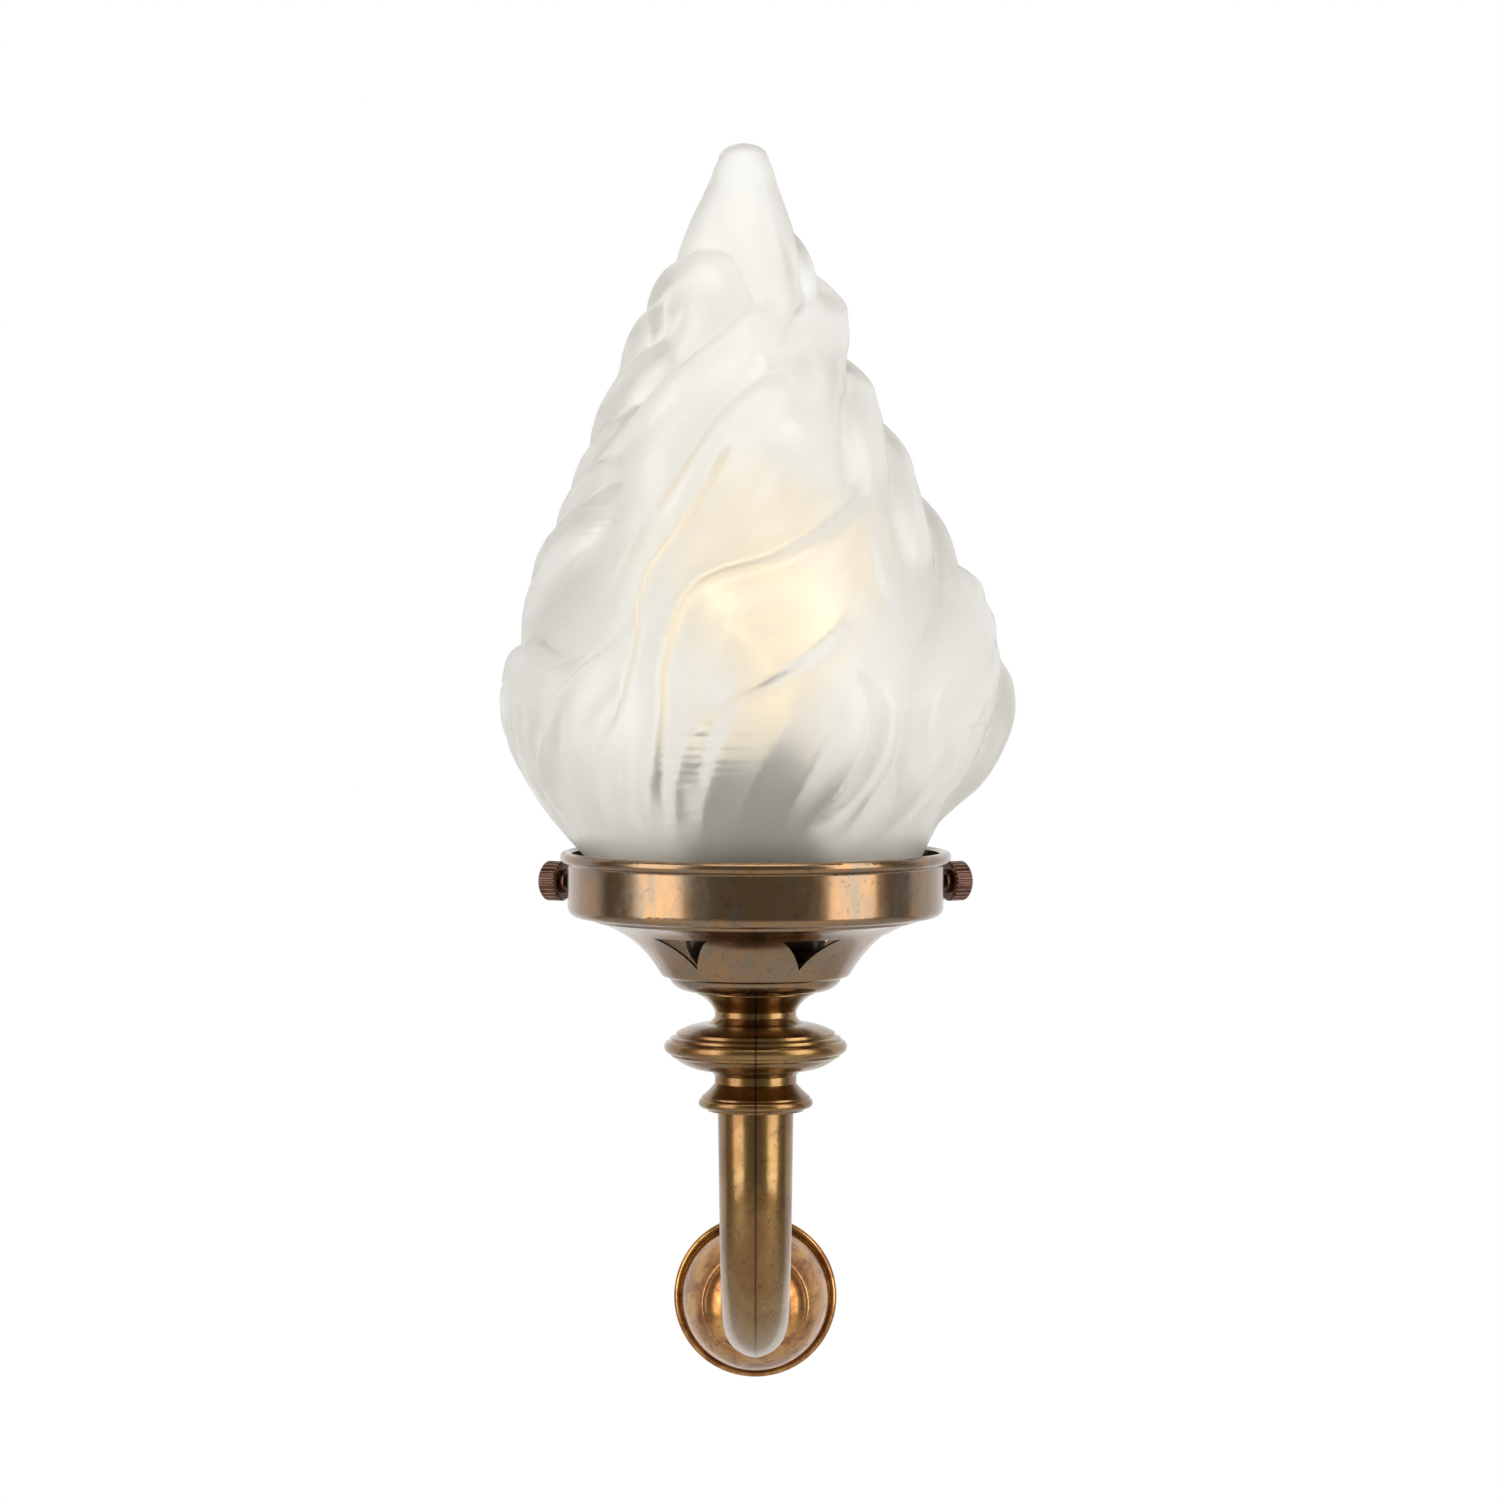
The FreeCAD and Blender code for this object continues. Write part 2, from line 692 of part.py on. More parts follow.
# Tongues, rooted and tipped at azimuths from the front (towards +X), with the heights of root and
# tip as shares of the flame's height, and half width and rise as shares of its radius.
TONGUES = [
    # front
    (-26, 36, 0.025, 0.503, 0.340, 0.120),
    (12, 32, 0.025, 0.432, 0.190, 0.108),
    (-64, -28, 0.025, 0.378, 0.280, 0.095),
    (42, 60, 0.025, 0.325, 0.200, 0.095),
    (-50, -9, 0.175, 0.608, 0.290, 0.095),
    (-72, -32, 0.552, 0.858, 0.200, 0.100),
    (-38, 18, 0.400, 0.762, 0.270, 0.095),
    (22, 58, 0.300, 0.680, 0.230, 0.085),
    (4, 40, 0.580, 0.870, 0.160, 0.065),
    # back
    (154, 216, 0.025, 0.503, 0.340, 0.120),
    (192, 212, 0.025, 0.432, 0.190, 0.108),
    (119, 150, 0.025, 0.378, 0.260, 0.090),
    (222, 240, 0.025, 0.325, 0.200, 0.095),
    (136, 171, 0.175, 0.608, 0.290, 0.095),
    (128, 158, 0.500, 0.800, 0.200, 0.080),
    (146, 198, 0.400, 0.762, 0.270, 0.095),
    (196, 226, 0.560, 0.850, 0.190, 0.085),
    (204, 238, 0.310, 0.660, 0.220, 0.080),
    # left side, bottom to top
    (-108.8, -64, 0.025, 0.367, 0.310, 0.081),
    (-116.9, -52.9, 0.165, 0.494, 0.350, 0.086),
    (-116.9, -52.9, 0.296, 0.614, 0.308, 0.070),
    (-116.9, -52.9, 0.423, 0.700, 0.266, 0.070),
    (-116.9, -52.9, 0.520, 0.800, 0.252, 0.106),
    (-116.9, -52.9, 0.637, 0.872, 0.168, 0.045),
    # right side, bottom to top
    (71.2, 116, 0.025, 0.460, 0.310, 0.095),
    (63.1, 127.1, 0.262, 0.542, 0.322, 0.072),
    (63.1, 127.1, 0.360, 0.645, 0.294, 0.075),
    (63.1, 127.1, 0.467, 0.728, 0.252, 0.058),
    (63.1, 127.1, 0.559, 0.838, 0.238, 0.082),
    (63.1, 127.1, 0.676, 0.908, 0.168, 0.045),
]


def flame_ring(share):
    """Height, radius and centre of the plain flame at a share of its height."""
    below = FLAME_RINGS[0]
    above = FLAME_RINGS[-1]
    for low, high in zip(FLAME_RINGS, FLAME_RINGS[1:]):
        if low[0] <= share <= high[0]:
            below, above = low, high
    part = (share - below[0]) / (above[0] - below[0])
    radius = number_of(size("flame_diameter")) / 2
    wide = radius * (below[1] + (above[1] - below[1]) * part)
    lean = radius * (below[2] + (above[2] - below[2]) * part)
    return number_of(flame_foot) + number_of(size("flame_height")) * share, wide, lean


def stacked(rings, inset):
    """Smooth solid through level rings, each drawn in by an inset, with a round cap on top."""
    wires = []
    for height, wide, lean in rings:
        circle = Part.Circle(Vector(lean, 0, height), Vector(0, 0, 1), wide - inset)
        wires.append(Part.Wire([circle.toShape()]))
    solid = Part.makeLoft(wires, True, False)
    height, wide, lean = rings[-1]
    ball = (wide - inset) * 1.03
    sink = math.sqrt(ball * ball - (wide - inset) ** 2)
    cut = math.degrees(math.asin(sink / ball))
    cap = Part.makeSphere(ball, Vector(lean, 0, height - sink), Vector(0, 0, 1), cut, 90, 360)
    return solid.fuse(cap)


def glass_blank():
    """Fitter rim, neck and the plain flame."""
    neck = number_of(glass_neck_radius)
    rim = number_of(fitter_radius)
    low, high = number_of(shade_foot), number_of(fitter_top)
    flange = Part.makeCylinder(rim, high - low, Vector(0, 0, low))
    throat = Part.makeCylinder(neck, number_of(flame_foot) - low, Vector(0, 0, low))
    rings = [flame_ring(ring[0]) for ring in FLAME_RINGS]
    return stacked(rings, 0.0).fuse([flange, throat])


def glass_hollow():
    """Inside of the glass, open at the fitter."""
    wall = number_of(size("glass_wall"))
    neck = number_of(glass_neck_radius) - wall
    low = number_of(shade_foot) - 1.0
    throat = Part.makeCylinder(neck, number_of(flame_foot) - low, Vector(0, 0, low))
    rings = [flame_ring(ring[0]) for ring in FLAME_RINGS[:-1]]
    return stacked(rings, wall).fuse(throat)


def tongue(root, tip, root_share, tip_share, half_width, rise):
    """One tongue of the flame: flat ovals lofted along a rising, turning path on the wall."""
    radius = number_of(size("flame_diameter")) / 2
    half_width *= radius
    rise *= radius

    def centre(way):
        level, wide, lean = flame_ring(root_share + (tip_share - root_share) * way)
        turn = math.radians(root + (tip - root) * way ** 1.3)
        swell = rise * math.sin(math.pi * min(1, way * 0.95 + 0.05)) ** 0.7
        out = wide - half_width * 0.30 + swell * 0.55
        return Vector(lean + out * math.sin(turn), -out * math.cos(turn), level), turn

    ovals = []
    for way, share in ((0.0, 0.4), (0.22, 0.76), (0.48, 1.0), (0.74, 0.88), (0.965, 0.32)):
        point, turn = centre(way)
        ahead = (centre(min(1, way + 0.01))[0] - centre(max(0, way - 0.01))[0]).normalize()
        side = Vector(math.cos(turn), math.sin(turn), 0)
        side = (side - ahead * side.dot(ahead)).normalize()
        thick = (half_width * 0.30 + rise * 0.45) * share
        oval = Part.Ellipse(point + side * half_width * share, point + ahead.cross(side) * thick, point)
        ovals.append(Part.Wire([oval.toShape()]))
    return Part.makeLoft(ovals, True, False)


def flame_shade():
    """Moulded glass flame with tongues that overlap as they turn round it."""
    solid = glass_blank().fuse([tongue(*row) for row in TONGUES])
    solid = solid.cut(glass_hollow())
    shade = doc.addObject("Part::Feature", "flame_shade")
    shade.Shape = solid
    return on_column(shade)


# Lampholder -------------------------------------------------------------------------------------

def lampholder():
    """Brass cap and shell, ceramic insert, screw shell, contact and terminals."""
    outer = size("holder_diameter") / 2
    gauge = size("holder_sheet")
    boss = 9.0
    curve = outer - boss
    dome_top = cap_top - 5.6
    dome_foot = dome_top - curve
    on_column(ring("gallery_washer", nipple_hole + 0.25, 11.0, seat + size("gallery_sheet"), holder_seat))
    on_column(
        turned(
            "holder_cap",
            [
                (nipple_hole, holder_seat),
                (boss, holder_seat),
                (boss, dome_foot, curve),
                (outer, dome_top),
                (outer, cap_top),
                (outer - gauge, cap_top),
                (outer - gauge, dome_top, -(curve - gauge)),
                (boss, dome_foot + gauge),
                (boss - 1.0, dome_foot + gauge),
                (boss - 1.0, holder_seat + 8.0),
                (nipple_hole, holder_seat + 8.0),
            ],
        )
    )
    mouth = 15.5
    on_column(
        turned(
            "holder_shell",
            [
                (outer - gauge, cap_top),
                (outer, cap_top),
                (outer, cap_top + 9.0),
                (outer + 0.9, cap_top + 9.9),
                (outer + 0.9, cap_top + 12.1),
                (outer, cap_top + 13.0),
                (outer, holder_top - 1.6, 1.6),
                (outer - 1.6, holder_top),
                (mouth, holder_top),
                (mouth, holder_top - gauge),
                (outer - gauge - 0.6, holder_top - gauge, -0.6),
                (outer - gauge, holder_top - gauge - 0.6),
            ],
        )
    )
    insert = turned(
        "holder_insert",
        [
            (0.0, insert_foot),
            (outer - gauge - 0.1, insert_foot),
            (outer - gauge - 0.1, insert_top),
            (0.0, insert_top),
        ],
    )
    wire_way = size("terminal_offset")
    drill(insert, "wire_ways", [(0.0, wire_way + 1.0, 1.6), (0.0, -(wire_way + 1.0), 1.6)])
    on_column(insert)
    shell_radius = size("screw_shell_diameter") / 2
    on_column(
        turned(
            "screw_shell",
            [
                (shell_radius - 2.6, insert_top),
                (shell_radius, insert_top),
                (shell_radius, holder_top - 3.0),
                (shell_radius - size("screw_shell_sheet"), holder_top - 3.0),
                (shell_radius - size("screw_shell_sheet"), insert_top + size("screw_shell_sheet")),
                (shell_radius - 2.6, insert_top + size("screw_shell_sheet")),
            ],
        )
    )
    on_column(
        ring(
            "holder_liner",
            shell_radius + 0.1,
            outer - gauge - 0.1,
            insert_top,
            holder_top - gauge - 0.7,
        )
    )
    contact = doc.addObject("PartDesign::Body", "centre_contact")
    tongue_sketch = closed_sketch(
        contact,
        "XZ_Plane",
        "contact_profile",
        [
            (-7.0, insert_top),
            (-2.0, insert_top),
            (5.0, lamp_foot - 0.6),
            (5.0, lamp_foot - 0.1),
            (1.0, lamp_foot - 0.1),
            (-2.2, insert_top + 0.5),
            (-7.0, insert_top + 0.5),
        ],
    )
    pad = contact.newObject("PartDesign::Pad", "contact_strip")
    pad.Profile = tongue_sketch
    pad.SideType = "Symmetric"
    pad.Length = 5.0
    contact.Tip = pad
    on_column(contact)


def box_at(name, sizes, corner):
    """A block with its least corner at sheet distances from the origin."""
    block = doc.addObject("Part::Box", name)
    block.Length, block.Width, block.Height = sizes
    for axis, distance in zip("xyz", corner):
        block.setExpression(f"Placement.Base.{axis}", as_size(distance).text)
    return block


def bored(name, block, hole):
    """A block with a round hole."""
    cut = doc.addObject("Part::Cut", name)
    cut.Base = block
    cut.Tool = hole
    return cut


def pin_at(name, radius, length, way, base):
    """A cylinder that starts at sheet distances from the origin and runs along a direction."""
    pin = doc.addObject("Part::Cylinder", name)
    pin.Radius = radius
    pin.Height = length
    pin.Placement = Placement(Vector(0, 0, 0), Rotation(Vector(0, 0, 1), way))
    for axis, distance in zip("xyz", base):
        pin.setExpression(f"Placement.Base.{axis}", as_size(distance).text)
    return pin


def terminals():
    """Brass terminal blocks under the insert and on the cap, each with its clamping screw."""
    block_size = 6.0
    wire_hole = size("wire_diameter").value / 2 + 0.05
    block_foot = insert_foot - block_size
    blocks, screws = [], []
    for word, way in (("live", 1), ("neutral", -1)):
        centre = size("terminal_offset") * way
        corner = (centre - block_size / 2, -reach - block_size / 2, block_foot)
        block = box_at(f"{word}_blank", (block_size, block_size, block_size), corner)
        hole = pin_at(f"{word}_way", wire_hole, 4.2, Vector(0, 0, 1), (centre, -reach, block_foot))
        blocks.append(bored(f"{word}_block", block, hole))
        head_base = (centre + way * block_size / 2, -reach, insert_foot - block_size / 2)
        screws.append(pin_at(f"{word}_screw", 2.0, 1.6, Vector(way, 0, 0), head_base))
    boss_top = holder_seat + 8.0
    earth_block = box_at("earth_blank", (5.0, 4.4, 6.0), (-2.5, -reach - 9.2, boss_top))
    earth_way = pin_at("earth_way", wire_hole, 3.4, Vector(0, -1, 0), (0.0, -reach - 4.8, boss_top + 3.4))
    keep(bored("earth_block", earth_block, earth_way))
    screws.append(pin_at("earth_clamp", 1.8, 1.4, Vector(0, 0, 1), (0.0, -reach - 7.0, boss_top + 6.0)))
    for name, members in (("terminal_blocks", blocks), ("terminal_screws", screws)):
        group = doc.addObject("Part::Compound", name)
        group.Links = members
        keep(group)


# Lamp -------------------------------------------------------------------------------------------

def lamp():
    """Screw lamp: glass bulb, cap, insulator, foot contact, stem and filament."""
    bulb = size("lamp_diameter") / 2
    glass = size("lamp_glass_wall")
    cap = size("lamp_cap_diameter") / 2
    cap_end = lamp_foot + size("lamp_cap_length")
    cap_foot = lamp_foot + size("lamp_cap_length") * 0.185
    neck = cap - 0.7
    glass_foot = cap_foot + 4.0
    shoulder = bulb_centre - bulb * 2 / 3
    shoulder_radius = bulb * math.sqrt(5) / 3
    inner = bulb - glass
    inner_shoulder = bulb_centre - inner * 2 / 3
    inner_shoulder_radius = inner * math.sqrt(5) / 3
    sweep = 42.0
    on_column(
        turned(
            "lamp_glass",
            [
                (neck - glass, glass_foot),
                (neck, glass_foot),
                (neck, cap_end + 1.0, -sweep),
                (shoulder_radius, shoulder, bulb),
                (bulb, bulb_centre, bulb),
                (0.0, lamp_top),
                (0.0, lamp_top - glass, -inner),
                (inner, bulb_centre, -inner),
                (inner_shoulder_radius, inner_shoulder, sweep + 1.0),
                (neck - glass, cap_end + 1.4),
            ],
        )
    )
    on_column(ring("lamp_cap", cap - 0.6, cap, cap_foot, cap_end))
    foot_radius = cap * 0.366
    contact_top = lamp_foot + size("lamp_cap_length") * 0.044
    insulator_top = cap_foot + size("lamp_cap_length") * 0.074
    on_column(
        turned(
            "lamp_insulator",
            [
                (0.0, contact_top),
                (foot_radius, contact_top),
                (cap - 0.65, cap_foot + 0.1),
                (cap - 0.65, insulator_top),
                (0.0, insulator_top),
            ],
        )
    )
    on_column(
        turned(
            "lamp_foot_contact",
            [
                (0.0, lamp_foot),
                (foot_radius - 1.2, lamp_foot),
                (foot_radius - 0.2, contact_top),
                (0.0, contact_top),
            ],
        )
    )
    stem_top = bulb_centre - bulb + 4.0
    on_column(
        turned(
            "lamp_stem",
            [
                (0.0, insulator_top),
                (neck - glass - 0.1, insulator_top),
                (neck - glass - 0.1, glass_foot + 2.0),
                (4.0, glass_foot + 5.0),
                (3.0, stem_top - 5.0),
                (5.0, stem_top - 1.0),
                (5.0, stem_top),
                (0.0, stem_top),
            ],
        )
    )
    low, high, wide = number_of(stem_top), number_of(bulb_centre), number_of(bulb)
    lead = wide / 10
    arch = [(-wide / 2, high - lead), (0, high + lead * 1.3), (wide / 2, high - lead)]
    route = [(-lead, low), (-lead, low + lead * 1.7), *arch, (lead, low + lead * 1.7), (lead, low)]
    points = [Vector(across, 0, level) for across, level in route]
    filament = doc.addObject("Part::Feature", "lamp_filament")
    filament.Shape = tube_along(points, wide / 75, [lead / 2] * 5)
    on_column(filament)


# Wiring -----------------------------------------------------------------------------------------

def line(start, end):
    return Part.LineSegment(start, end).toShape()


def rounded_path(points, radii):
    """Straight runs joined by tangent arcs of the given radii at the inner points."""
    edges = []
    here = points[0]
    for index, radius in enumerate(radii, start=1):
        corner = points[index]
        back = (points[index - 1] - corner).normalize()
        ahead = (points[index + 1] - corner).normalize()
        half_angle = back.getAngle(ahead) / 2
        reach_back = radius / math.tan(half_angle)
        start, end = corner + back * reach_back, corner + ahead * reach_back
        centre_way = (back + ahead).normalize()
        centre = corner + centre_way * (radius / math.sin(half_angle))
        middle = centre - centre_way * radius
        edges.append(line(here, start))
        edges.append(Part.Arc(start, middle, end).toShape())
        here = end
    edges.append(line(here, points[-1]))
    return Part.Wire(edges)


def tube_along(points, radius, radii):
    """Round solid along a rounded path."""
    path = rounded_path(points, radii)
    start = Part.Wire([Part.Circle(points[0], points[1] - points[0], radius).toShape()])
    solid = path.makePipeShell([start], True, False)
    expected = math.pi * radius * radius * path.Length
    if abs(solid.Volume - expected) > 0.02 * expected:
        raise ValueError("a tube's volume differs from its section times its length")
    return solid


def wires():
    """Live, neutral and earth wires from their terminals down through the arm to the wall."""
    out = -number_of(reach)
    radius = number_of(size("wire_diameter")) / 2
    bend = number_of(size("bend_radius"))
    spread = number_of(size("wire_spread"))
    wall_end = -0.6
    clamp = number_of(size("terminal_offset"))
    high = number_of(insert_foot) - 6.0 - 4.6
    for name, way in (("live_wire", 1), ("neutral_wire", -1)):
        across = way * spread * math.sqrt(3) / 2
        inside = spread / 2
        points = [
            Vector(way * clamp, out, number_of(insert_foot) - 2.0),
            Vector(way * clamp, out, high),
            Vector(across, out + inside, high - 2.2),
            Vector(across, out + inside, inside),
            Vector(across, wall_end, inside),
        ]
        wire = doc.addObject("Part::Feature", name)
        wire.Shape = tube_along(points, radius, [5.4, 5.4, bend - inside])
        keep(wire)
    boss_top = number_of(holder_seat) + 8.0
    points = [
        Vector(0, out - 8.0, boss_top + 3.4),
        Vector(0, out - spread, boss_top + 3.4),
        Vector(0, out - spread, -spread),
        Vector(0, wall_end, -spread),
    ]
    wire = doc.addObject("Part::Feature", "earth_wire")
    wire.Shape = tube_along(points, radius, [3.3, bend + spread])
    keep(wire)


wall_plate()
earth_fixing()
wall_rose()
tail_fixing()
arm_half("arm_half_left", -1)
arm_half("arm_half_right", 1)
top_nipple()
gallery()
gallery_screws()
lampholder()
terminals()
lamp()
wires()
flame_shade()
doc.recompute()

for thing in doc.Objects:
    if "Invalid" in thing.State or "Error" in thing.State:
        raise ValueError(f"{thing.Label} did not build: {thing.State}")

os.makedirs("parts", exist_ok=True)
for piece in pieces:
    if piece.Shape.isNull() or not piece.Shape.isValid():
        raise ValueError(f"{piece.Label} has no valid shape")
    piece.Shape.exportStep(f"parts/{piece.Label}.step")
    print(f"{piece.Label}: {len(piece.Shape.Solids)} solid(s), {piece.Shape.Volume / 1000:.2f} cm3")
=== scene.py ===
# %% [markdown]
# A torch sconce: a cast brass arm on a small wall rose, a spun brass gallery and a moulded flame of
# frosted glass around a lit lamp. The measured parts come from CAD and stay as they are. This
# script gives them their finishes, and models the glass finer than CAD does.

# %% Load the measured parts
import math

import bmesh
import bpy
import numpy as np
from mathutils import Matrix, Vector


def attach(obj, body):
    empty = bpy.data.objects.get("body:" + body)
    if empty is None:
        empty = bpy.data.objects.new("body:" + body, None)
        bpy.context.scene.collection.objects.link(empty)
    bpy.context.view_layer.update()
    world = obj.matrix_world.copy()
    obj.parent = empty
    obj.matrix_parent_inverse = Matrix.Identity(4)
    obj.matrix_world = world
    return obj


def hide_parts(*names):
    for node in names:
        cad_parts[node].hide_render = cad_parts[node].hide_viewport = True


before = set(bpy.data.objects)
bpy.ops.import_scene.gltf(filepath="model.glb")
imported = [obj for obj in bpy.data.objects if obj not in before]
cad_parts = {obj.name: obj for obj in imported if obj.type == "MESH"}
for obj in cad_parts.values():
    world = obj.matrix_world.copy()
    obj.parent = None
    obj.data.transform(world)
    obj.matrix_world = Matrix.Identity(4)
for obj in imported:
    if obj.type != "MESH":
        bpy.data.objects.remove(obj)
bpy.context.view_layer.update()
MM = 0.001
COLUMN = Vector((0.0, -110 * MM, 0.0))

# %% [markdown]
# Colours are written as a picture editor shows them. Blender mixes light in linear values, so one
# function turns a hex colour to linear before it is used.

# %% Colour and node helpers


def linear(hex_code):
    """sRGB hex to a linear RGBA tuple."""
    values = [int(hex_code[i:i + 2], 16) / 255 for i in (1, 3, 5)]
    flat = [v / 12.92 if v <= 0.04045 else ((v + 0.055) / 1.055) ** 2.4 for v in values]
    return (*flat, 1.0)


def add(tree, kind, settings=None, links=None):
    """Add one node, set its properties or sockets, and link sockets to other nodes' outputs."""
    node = tree.nodes.new(kind)
    for name, value in (settings or {}).items():
        if isinstance(name, str) and hasattr(node, name):
            setattr(node, name, value)
        else:
            node.inputs[name].default_value = value
    for name, source in (links or {}).items():
        tree.links.new(source, node.inputs[name])
    return node


def new_material(name):
    """An empty material with its output node and its Principled shader."""
    material = bpy.data.materials.new(name)
    material.use_nodes = True
    tree = material.node_tree
    tree.nodes.clear()
    output = add(tree, "ShaderNodeOutputMaterial")
    shader = add(tree, "ShaderNodeBsdfPrincipled")
    tree.links.new(shader.outputs["BSDF"], output.inputs["Surface"])
    return material, tree, shader


def dress(node_name, material):
    """Give a CAD node its finish."""
    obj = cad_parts[node_name]
    obj.data.materials.clear()
    obj.data.materials.append(material)


# %% [markdown]
# Aged brass is one metal with a thin, uneven skin of oxide under old lacquer. A slow noise makes
# patches of copper and olive and a fine one makes specks and pits. On the spun gallery the patches
# are drawn out upright, as heat and handling leave them on its band. The arm is cast in two halves
# and brazed, so a dark line runs down its middle, where x is 0.

# %% Brass finishes


def aged_brass(name, base, patch, dark, patch_mm, speck_mm, rough, stretch=(1, 1, 1), seam=0.0):
    """Patinated brass: base and patch colours in slow clouds, dark specks, uneven gloss, a seam."""
    material, tree, shader = new_material(name)
    coords = add(tree, "ShaderNodeTexCoord").outputs["Object"]
    slow_map = add(tree, "ShaderNodeMapping", {"Scale": stretch}, {"Vector": coords})
    slow = add(tree, "ShaderNodeTexNoise",
               {"Scale": 1 / (patch_mm * MM), "Detail": 5.0, "Roughness": 0.62, "Distortion": 0.6},
               {"Vector": slow_map.outputs["Vector"]})
    clouds = add(tree, "ShaderNodeValToRGB", None, {"Fac": slow.outputs["Fac"]})
    clouds.color_ramp.elements[0].position = 0.40
    clouds.color_ramp.elements[0].color = linear(patch)
    clouds.color_ramp.elements[1].position = 0.60
    clouds.color_ramp.elements[1].color = linear(base)
    fine = add(tree, "ShaderNodeTexNoise",
               {"Scale": 1 / (speck_mm * MM), "Detail": 6.0, "Roughness": 0.7}, {"Vector": coords})
    specks = add(tree, "ShaderNodeMapRange",
                 {"From Min": 0.28, "From Max": 0.44, "To Min": 0.7, "To Max": 0.0},
                 {"Value": fine.outputs["Fac"]})
    parts = add(tree, "ShaderNodeSeparateXYZ", None, {"Vector": coords})
    aside = add(tree, "ShaderNodeMath", {"operation": "ABSOLUTE"}, {0: parts.outputs["X"]})
    line = add(tree, "ShaderNodeMapRange",
               {"From Min": 0.15 * MM, "From Max": 0.4 * MM, "To Min": seam, "To Max": 0.0},
               {"Value": aside.outputs[0]})
    darker = add(tree, "ShaderNodeMath", {"operation": "MAXIMUM"},
                 {0: specks.outputs["Result"], 1: line.outputs["Result"]})
    mixed = add(tree, "ShaderNodeMix", {"data_type": "RGBA", 7: linear(dark)},
                {0: darker.outputs[0], 6: clouds.outputs["Color"]})
    gloss = add(tree, "ShaderNodeMapRange",
                {"From Min": 0.3, "From Max": 0.7, "To Min": rough + 0.12, "To Max": rough - 0.05},
                {"Value": slow.outputs["Fac"]})
    grain = add(tree, "ShaderNodeBump", {"Strength": 0.12, "Distance": 0.05 * MM},
                {"Height": fine.outputs["Fac"]})
    tree.links.new(mixed.outputs[2], shader.inputs["Base Color"])
    tree.links.new(gloss.outputs["Result"], shader.inputs["Roughness"])
    tree.links.new(grain.outputs["Normal"], shader.inputs["Normal"])
    shader.inputs["Metallic"].default_value = 1.0
    shader.inputs["Coat Weight"].default_value = 0.4
    shader.inputs["Coat Roughness"].default_value = 0.12
    return material


cast_brass = aged_brass("cast_brass_lacquered", "#8E7040", "#7A562E", "#3A2412", 26, 2.4, 0.24,
                        seam=0.9)
spun_brass = aged_brass("spun_brass_patinated", "#8E6C48", "#7C6A56", "#4A3020", 9, 2.0, 0.19,
                        stretch=(1, 1, 0.3))
rose_brass = aged_brass("pressed_brass_mottled", "#B98848", "#8C5428", "#44280F", 8, 2.0, 0.24)
screw_brass = aged_brass("knurled_brass_bronzed", "#5C3C2C", "#482C20", "#22140E", 3, 0.6, 0.36)
turned_brass = aged_brass("turned_brass_plain", "#CDA766", "#BE9050", "#7A5A30", 12, 0.9, 0.24)
holder_brass = aged_brass("lampholder_brass_blackened", "#3A342C", "#2C2620", "#15120F", 10, 1.2,
                          0.42)
for label in ("arm_half_left", "arm_half_right"):
    dress(label, cast_brass)
for label in ("gallery", "screw_boss_left", "screw_boss_right"):
    dress(label, spun_brass)
for label in ("thumb_screw_left", "thumb_screw_right"):
    dress(label, screw_brass)
dress("wall_rose", rose_brass)
for label in ("tail_nipple", "top_nipple", "rose_lock_nut", "gallery_washer", "earth_screw",
              "earth_washer", "centre_contact", "screw_shell", "earth_block", "terminal_blocks"):
    dress(label, turned_brass)
for label in ("holder_cap", "holder_shell"):
    dress(label, holder_brass)
print("brass finishes", len(bpy.data.materials))

# %% [markdown]
# The other finishes are plain industrial ones: bright zinc on the steel plate, glazed steatite,
# pressed fibre, coloured wire sleeves and the parts of the lamp.

# %% Plain finishes


def plain(name, colour, second, grain_mm, rough, metallic=0.0, bump=0.05):
    """One material in two close colours, with a fine grain."""
    material, tree, shader = new_material(name)
    coords = add(tree, "ShaderNodeTexCoord").outputs["Object"]
    grain = add(tree, "ShaderNodeTexNoise", {"Scale": 1 / (grain_mm * MM), "Detail": 4.0},
                {"Vector": coords})
    ramp = add(tree, "ShaderNodeValToRGB", None, {"Fac": grain.outputs["Fac"]})
    ramp.color_ramp.elements[0].position = 0.35
    ramp.color_ramp.elements[0].color = linear(second)
    ramp.color_ramp.elements[1].position = 0.65
    ramp.color_ramp.elements[1].color = linear(colour)
    tree.links.new(ramp.outputs["Color"], shader.inputs["Base Color"])
    relief = add(tree, "ShaderNodeBump", {"Strength": bump, "Distance": 0.1 * MM},
                 {"Height": grain.outputs["Fac"]})
    tree.links.new(relief.outputs["Normal"], shader.inputs["Normal"])
    shader.inputs["Roughness"].default_value = rough
    shader.inputs["Metallic"].default_value = metallic
    return material


zinc = plain("zinc_plated_steel", "#C9CBCC", "#B4B6B8", 2.5, 0.32, 1.0)
FINISHES = {
    "wall_plate": zinc,
    "rose_washer": zinc,
    "terminal_screws": zinc,
    "holder_insert": plain("glazed_steatite", "#E8E4DA", "#DCD6C8", 6, 0.18),
    "holder_liner": plain("pressed_fibre", "#CDBFA6", "#B8A88C", 1.2, 0.8, bump=0.3),
    "lamp_cap": plain("rolled_aluminium", "#C8C8C6", "#B4B4B2", 2, 0.3, 1.0),
    "lamp_foot_contact": plain("tinned_contact", "#B8B6B0", "#A09E98", 1, 0.35, 1.0),
    "lamp_insulator": plain("black_vitrite", "#17171A", "#101012", 2, 0.15),
    "live_wire": plain("brown_sleeve", "#6B3F22", "#5E3519", 1, 0.5),
    "neutral_wire": plain("blue_sleeve", "#2B5C9E", "#245090", 1, 0.5),
    "earth_wire": plain("green_sleeve", "#4E8A34", "#437C2C", 1, 0.5),
}
